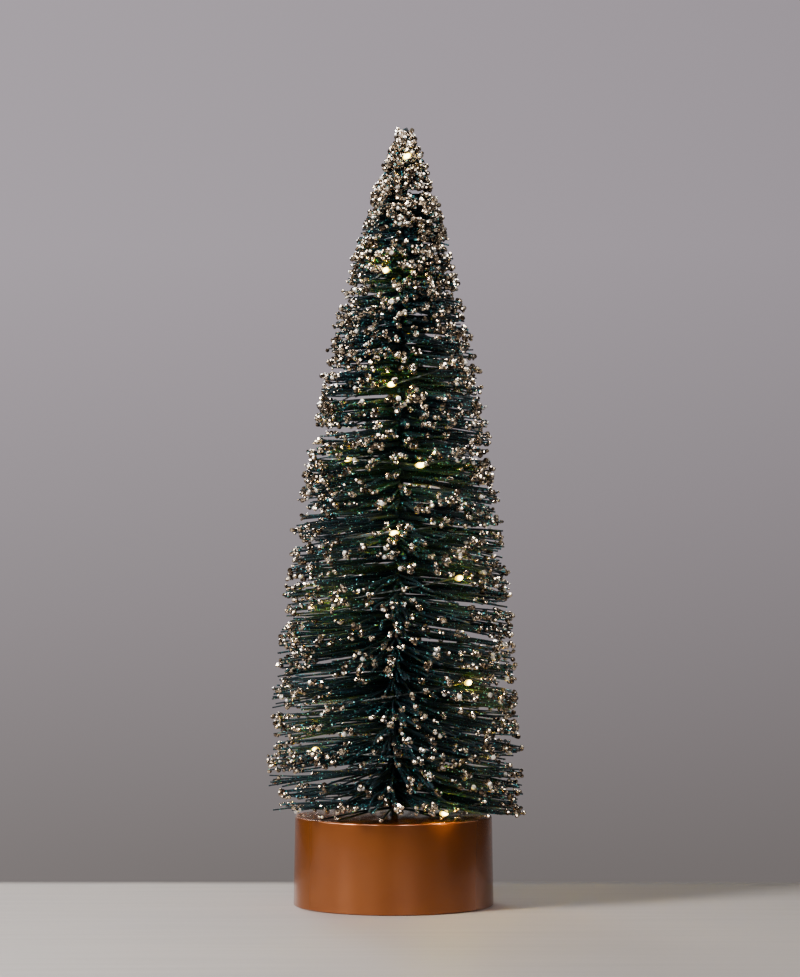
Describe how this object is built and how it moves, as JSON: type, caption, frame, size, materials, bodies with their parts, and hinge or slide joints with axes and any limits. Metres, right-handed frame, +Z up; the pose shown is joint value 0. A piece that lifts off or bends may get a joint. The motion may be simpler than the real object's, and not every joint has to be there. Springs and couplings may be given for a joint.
{
  "type": "artificial tabletop tree",
  "caption": "Bottle-brush tabletop tree of dark glittered bristles with bead clusters, a wound string of micro lights and a round glossy battery base with switch and battery door.",
  "frame": {"origin": "centre of the base's footprint, on the surface that it stands on", "axes": "+Z up along the base's axis to the tip, -Y the side that is seen in the picture, +X to the right of it"},
  "size_m": [0.1166, 0.1166, 0.3505],
  "materials": {
    "copper_gloss": "gloss",
    "cover_black": "matte",
    "cell_sleeve": "gloss",
    "nickel": "satin",
    "switch_black": "satin",
    "board_green": "satin",
    "chip_black": "matte",
    "resistor_tan": "satin",
    "wire_red": "satin",
    "wire_black": "satin",
    "screw_steel": "satin",
    "trunk_wire": "satin",
    "hot_glue": "satin",
    "bristle_teal": "satin",
    "string_wire": "satin",
    "light_drop": "gloss"
  },
  "bodies": {
    "root": {"base_housing": "copper_gloss", "bottom_cover": "cover_black", "battery_1": "cell_sleeve", "battery_2": "cell_sleeve", "battery_3": "cell_sleeve", "battery_spring_1": "nickel", "battery_spring_2": "nickel", "battery_spring_3": "nickel", "bridge_plate_left": "nickel", "bridge_plate_right": "nickel", "terminal_plate_positive": "nickel", "terminal_plate_negative": "nickel", "switch_housing": "switch_black", "switch_board": "board_green", "timer_chip": "chip_black", "resistor": "resistor_tan", "red_wire": "wire_red", "black_wire": "wire_black", "cover_screw_1": "screw_steel", "cover_screw_2": "screw_steel", "cover_screw_3": "screw_steel", "cover_screw_4": "screw_steel", "trunk_wire_left": "trunk_wire", "trunk_wire_right": "trunk_wire", "stem_glue": "hot_glue", "bristles": "bristle_teal", "light_string_wire": "string_wire", "light_01": "light_drop", "light_02": "light_drop", "light_03": "light_drop", "light_04": "light_drop", "light_05": "light_drop", "light_06": "light_drop", "light_07": "light_drop", "light_08": "light_drop", "light_09": "light_drop", "light_10": "light_drop", "light_11": "light_drop", "light_12": "light_drop", "light_13": "light_drop", "light_14": "light_drop", "light_15": "light_drop", "light_16": "light_drop", "light_17": "light_drop", "light_18": "light_drop", "light_19": "light_drop", "light_20": "light_drop"},
    "battery_door": {"battery_door": "cover_black"},
    "switch_slider": {"switch_slider": "switch_black"}
  },
  "joints": [
    {"name": "battery_door_hinge", "type": "hinge", "parent": "root", "child": "battery_door", "pos_m": [0, 0.02275, 0.0025], "axis": [1, 0, 0], "range_deg": [0, 75]},
    {"name": "switch_slide", "type": "slide", "parent": "root", "child": "switch_slider", "axis": [-1, 0, 0], "range_m": [0, 0.003]}
  ]
}
